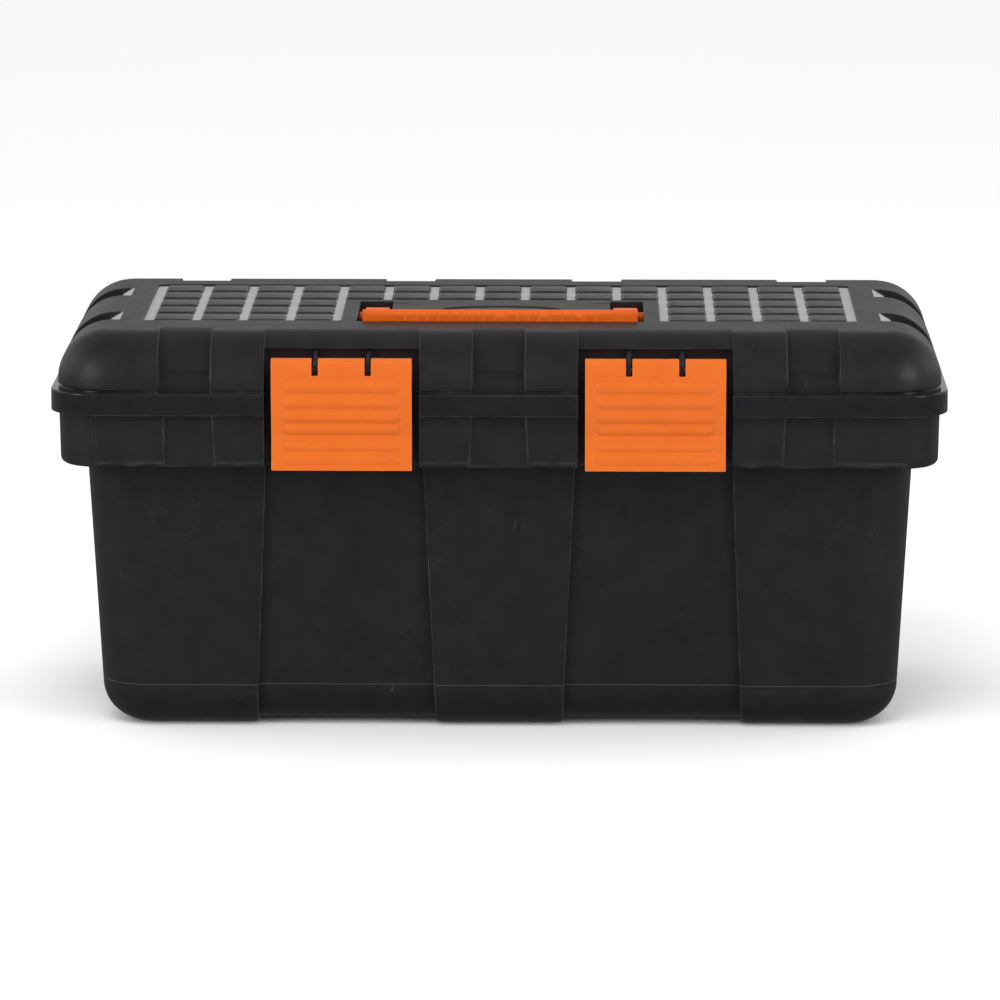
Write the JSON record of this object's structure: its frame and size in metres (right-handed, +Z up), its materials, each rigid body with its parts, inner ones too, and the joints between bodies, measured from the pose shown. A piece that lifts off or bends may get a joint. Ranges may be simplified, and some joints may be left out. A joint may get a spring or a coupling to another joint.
{
  "type": "toolbox with tray",
  "caption": "Black moulded plastic toolbox with a grid-topped hinged lid, orange snap latches, a fold-flat orange carry handle and a lift-out divided tray inside.",
  "frame": {"origin": "centre of the length and depth, at the level the feet stand on", "axes": "+X along the length, to the right as seen from the latches' side; +Y from the latches to the hinges; +Z up"},
  "size_m": [0.5, 0.2499, 0.2336],
  "materials": {
    "body_plastic": "moulded black polypropylene, fine matte grain",
    "lid_plastic": "moulded black polypropylene, matte dome, glossy flange, sparked grid floor",
    "orange_plastic": "satin orange moulded plastic",
    "pin_steel": "drawn zinc-plated wire",
    "tray_plastic": "moulded charcoal polypropylene"
  },
  "bodies": {
    "base": {"base_tub": "body_plastic", "hinge_pin_left": "pin_steel", "hinge_pin_right": "pin_steel"},
    "lid": {"lid_shell": "lid_plastic", "latch_pin_left": "pin_steel", "latch_pin_right": "pin_steel"},
    "handle": {"handle": "orange_plastic"},
    "latch_left": {"latch_left": "orange_plastic"},
    "latch_right": {"latch_right": "orange_plastic"},
    "tray": {"tray": "tray_plastic"},
    "divider_front_left": {"divider_front_left": "tray_plastic"},
    "divider_front_right": {"divider_front_right": "tray_plastic"},
    "divider_back_left": {"divider_back_left": "tray_plastic"},
    "divider_back_right": {"divider_back_right": "tray_plastic"}
  },
  "joints": [
    {"name": "lid_hinge", "type": "hinge", "parent": "base", "child": "lid", "pos_m": [0, 0.12, 0.1783], "axis": [-1, 0, 0], "range_deg": [0, 100]},
    {"name": "latch_left_hinge", "type": "hinge", "parent": "lid", "child": "latch_left", "pos_m": [-0.087, -0.1167, 0.2088], "axis": [-1, 0, 0], "range_deg": [0, 100]},
    {"name": "latch_right_hinge", "type": "hinge", "parent": "lid", "child": "latch_right", "pos_m": [0.087, -0.1167, 0.2088], "axis": [-1, 0, 0], "range_deg": [0, 100]},
    {"name": "handle_hinge", "type": "hinge", "parent": "lid", "child": "handle", "pos_m": [0, -0.003, 0.2204], "axis": [-1, 0, 0], "range_deg": [0, 90]},
    {"name": "tray_lift", "type": "slide", "parent": "base", "child": "tray", "axis": [0, 0, 1], "range_m": [0, 0.12]},
    {"name": "divider_front_left_slide", "type": "slide", "parent": "tray", "child": "divider_front_left", "axis": [0, 0, 1], "range_m": [0, 0.038]},
    {"name": "divider_front_right_slide", "type": "slide", "parent": "tray", "child": "divider_front_right", "axis": [0, 0, 1], "range_m": [0, 0.038]},
    {"name": "divider_back_left_slide", "type": "slide", "parent": "tray", "child": "divider_back_left", "axis": [0, 0, 1], "range_m": [0, 0.038]},
    {"name": "divider_back_right_slide", "type": "slide", "parent": "tray", "child": "divider_back_right", "axis": [0, 0, 1], "range_m": [0, 0.038]}
  ],
  "couplings": [
    {"joint": "tray_lift", "follows": "lid_hinge", "m_per_rad": 0.0687}
  ]
}
